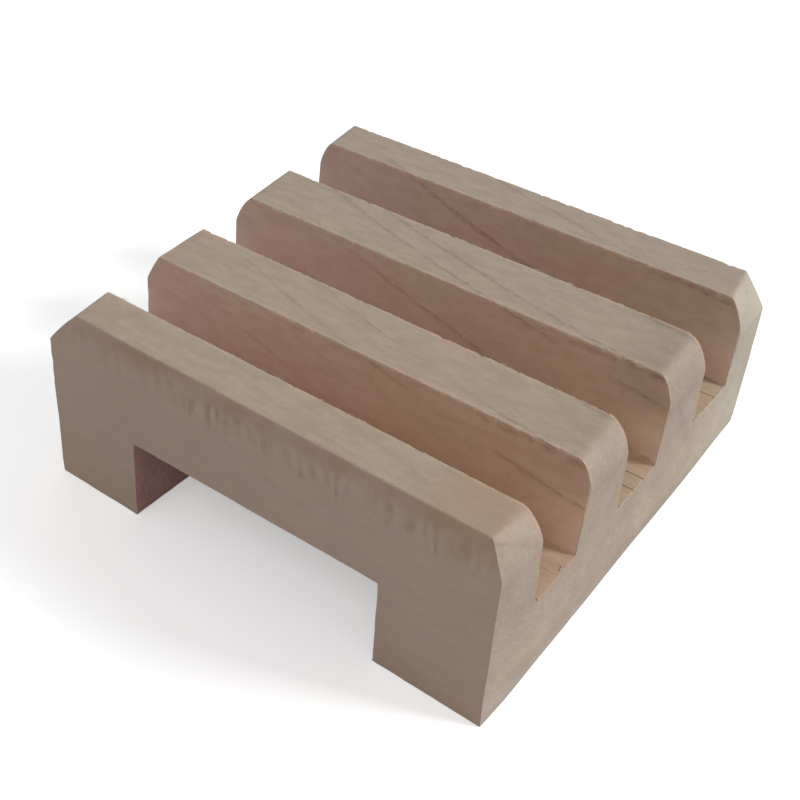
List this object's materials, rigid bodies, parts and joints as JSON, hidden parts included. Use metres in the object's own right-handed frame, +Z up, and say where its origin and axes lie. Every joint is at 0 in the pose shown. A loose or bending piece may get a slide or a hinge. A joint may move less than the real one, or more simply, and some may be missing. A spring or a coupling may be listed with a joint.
{
  "type": "soap dish",
  "caption": "Low square wooden soap dish: one block of pale hardwood with open grooves between ribs on top and a wide channel below that leaves a foot at each end.",
  "frame": {"origin": "middle of the footprint, on the surface that the dish stands on", "axes": "+X along the ribs and grooves, towards the right end; +Y across the ribs, from front to back; +Z up"},
  "size_m": [0.102, 0.0936, 0.0408],
  "materials": {
    "bare_wood": "bare sawn and sanded pale hardwood, no oil or varnish"
  },
  "bodies": {
    "root": {"grooved_block": "bare_wood"}
  },
  "joints": []
}
